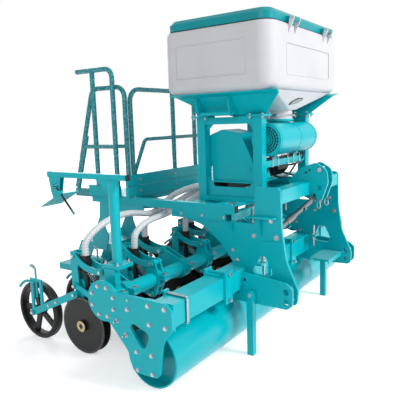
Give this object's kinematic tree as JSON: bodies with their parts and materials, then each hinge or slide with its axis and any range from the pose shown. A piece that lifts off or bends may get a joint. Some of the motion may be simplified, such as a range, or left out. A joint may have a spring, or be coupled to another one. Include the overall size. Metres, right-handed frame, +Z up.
{
  "type": "mounted seed drill with packer roller",
  "caption": "Tractor mounted row seeder with a smooth wide packer roller, disc openers on parallelogram arms, press wheels, a white seed hopper, hoses, a rear platform with rails and steps",
  "frame": {"origin": "centre of the footprint, on the ground", "axes": "X across the machine, +Y to its rear, -Y to the tractor, +Z up"},
  "size_m": [2.466, 2.0638, 1.972],
  "materials": {
    "teal_paint": "gloss",
    "cast_bearing": "satin",
    "black_tube": "satin",
    "white_hose": "satin",
    "white_hopper": "satin",
    "teal_plastic": "satin",
    "black_motor": "satin",
    "black_plastic": "matte",
    "black_disc": "satin",
    "black_wheel": "matte"
  },
  "bodies": {
    "frame": {"end_plates": "teal_paint", "front_beam": "teal_paint", "row_beam": "teal_paint", "tower_plates": "teal_paint", "link_plates": "teal_paint", "top_hitch": "teal_paint", "adjuster_strut": "teal_paint", "beam_clamps": "teal_paint", "unit_clamps": "teal_paint", "upper_arms": "teal_paint", "lower_arms": "teal_paint", "unit_bodies": "teal_paint", "wheel_arms": "teal_paint", "sub_frame": "teal_paint", "hopper_frame": "teal_paint", "hopper_cradle": "teal_paint", "platform_deck": "teal_paint", "toe_boards": "teal_paint", "handrails": "teal_paint", "steps": "teal_paint", "front_step": "teal_paint", "marker_post": "teal_paint", "metering_box": "teal_paint", "fan_housing": "teal_paint", "roller_bearings": "cast_bearing", "seed_tubes": "black_tube", "seed_hoses": "white_hose", "hopper": "white_hopper", "fan_motor": "black_motor", "manifold": "black_plastic"},
    "roller": {"packer_roller": "teal_paint"},
    "lid": {"hopper_lid": "teal_plastic"},
    "stand_1": {"stand_near": "teal_paint"},
    "stand_2": {"stand_far": "teal_paint"},
    "discs_1": {"disc_pair_1": "black_disc"},
    "wheel_1": {"press_wheel_1": "black_wheel"},
    "discs_2": {"disc_pair_2": "black_disc"},
    "wheel_2": {"press_wheel_2": "black_wheel"},
    "discs_3": {"disc_pair_3": "black_disc"},
    "wheel_3": {"press_wheel_3": "black_wheel"},
    "discs_4": {"disc_pair_4": "black_disc"},
    "wheel_4": {"press_wheel_4": "black_wheel"},
    "discs_5": {"disc_pair_5": "black_disc"},
    "wheel_5": {"press_wheel_5": "black_wheel"},
    "discs_6": {"disc_pair_6": "black_disc"},
    "wheel_6": {"press_wheel_6": "black_wheel"},
    "discs_7": {"disc_pair_7": "black_disc"},
    "wheel_7": {"press_wheel_7": "black_wheel"},
    "discs_8": {"disc_pair_8": "black_disc"},
    "wheel_8": {"press_wheel_8": "black_wheel"},
    "discs_9": {"disc_pair_9": "black_disc"},
    "wheel_9": {"press_wheel_9": "black_wheel"}
  },
  "joints": [
    {"name": "roller_spin", "type": "hinge", "parent": "frame", "child": "roller", "pos_m": [0, -0.51114, 0.162], "axis": [1, 0, 0], "continuous": true},
    {"name": "lid_hinge", "type": "hinge", "parent": "frame", "child": "lid", "pos_m": [0, -0.91314, 1.928], "axis": [1, 0, 0], "range_deg": [0, 95]},
    {"name": "stand_near_swing", "type": "hinge", "parent": "frame", "child": "stand_1", "pos_m": [-0.581, -0.77314, 0.366], "axis": [-1, 0, 0], "range_deg": [0, 95]},
    {"name": "stand_far_swing", "type": "hinge", "parent": "frame", "child": "stand_2", "pos_m": [0.581, -0.77314, 0.366], "axis": [-1, 0, 0], "range_deg": [0, 95]},
    {"name": "disc_spin_1", "type": "hinge", "parent": "frame", "child": "discs_1", "pos_m": [-1.064, 0.09486, 0.18], "axis": [1, 0, 0], "continuous": true},
    {"name": "wheel_spin_1", "type": "hinge", "parent": "frame", "child": "wheel_1", "pos_m": [-1.064, 0.52386, 0.19], "axis": [1, 0, 0], "continuous": true},
    {"name": "disc_spin_2", "type": "hinge", "parent": "frame", "child": "discs_2", "pos_m": [-0.798, -0.05014, 0.18], "axis": [1, 0, 0], "continuous": true},
    {"name": "wheel_spin_2", "type": "hinge", "parent": "frame", "child": "wheel_2", "pos_m": [-0.798, 0.37886, 0.19], "axis": [1, 0, 0], "continuous": true},
    {"name": "disc_spin_3", "type": "hinge", "parent": "frame", "child": "discs_3", "pos_m": [-0.532, 0.09486, 0.18], "axis": [1, 0, 0], "continuous": true},
    {"name": "wheel_spin_3", "type": "hinge", "parent": "frame", "child": "wheel_3", "pos_m": [-0.532, 0.52386, 0.19], "axis": [1, 0, 0], "continuous": true},
    {"name": "disc_spin_4", "type": "hinge", "parent": "frame", "child": "discs_4", "pos_m": [-0.266, -0.05014, 0.18], "axis": [1, 0, 0], "continuous": true},
    {"name": "wheel_spin_4", "type": "hinge", "parent": "frame", "child": "wheel_4", "pos_m": [-0.266, 0.37886, 0.19], "axis": [1, 0, 0], "continuous": true},
    {"name": "disc_spin_5", "type": "hinge", "parent": "frame", "child": "discs_5", "pos_m": [0, 0.09486, 0.18], "axis": [1, 0, 0], "continuous": true},
    {"name": "wheel_spin_5", "type": "hinge", "parent": "frame", "child": "wheel_5", "pos_m": [0, 0.52386, 0.19], "axis": [1, 0, 0], "continuous": true},
    {"name": "disc_spin_6", "type": "hinge", "parent": "frame", "child": "discs_6", "pos_m": [0.266, -0.05014, 0.18], "axis": [1, 0, 0], "continuous": true},
    {"name": "wheel_spin_6", "type": "hinge", "parent": "frame", "child": "wheel_6", "pos_m": [0.266, 0.37886, 0.19], "axis": [1, 0, 0], "continuous": true},
    {"name": "disc_spin_7", "type": "hinge", "parent": "frame", "child": "discs_7", "pos_m": [0.532, 0.09486, 0.18], "axis": [1, 0, 0], "continuous": true},
    {"name": "wheel_spin_7", "type": "hinge", "parent": "frame", "child": "wheel_7", "pos_m": [0.532, 0.52386, 0.19], "axis": [1, 0, 0], "continuous": true},
    {"name": "disc_spin_8", "type": "hinge", "parent": "frame", "child": "discs_8", "pos_m": [0.798, -0.05014, 0.18], "axis": [1, 0, 0], "continuous": true},
    {"name": "wheel_spin_8", "type": "hinge", "parent": "frame", "child": "wheel_8", "pos_m": [0.798, 0.37886, 0.19], "axis": [1, 0, 0], "continuous": true},
    {"name": "disc_spin_9", "type": "hinge", "parent": "frame", "child": "discs_9", "pos_m": [1.064, 0.09486, 0.18], "axis": [1, 0, 0], "continuous": true},
    {"name": "wheel_spin_9", "type": "hinge", "parent": "frame", "child": "wheel_9", "pos_m": [1.064, 0.52386, 0.19], "axis": [1, 0, 0], "continuous": true}
  ]
}
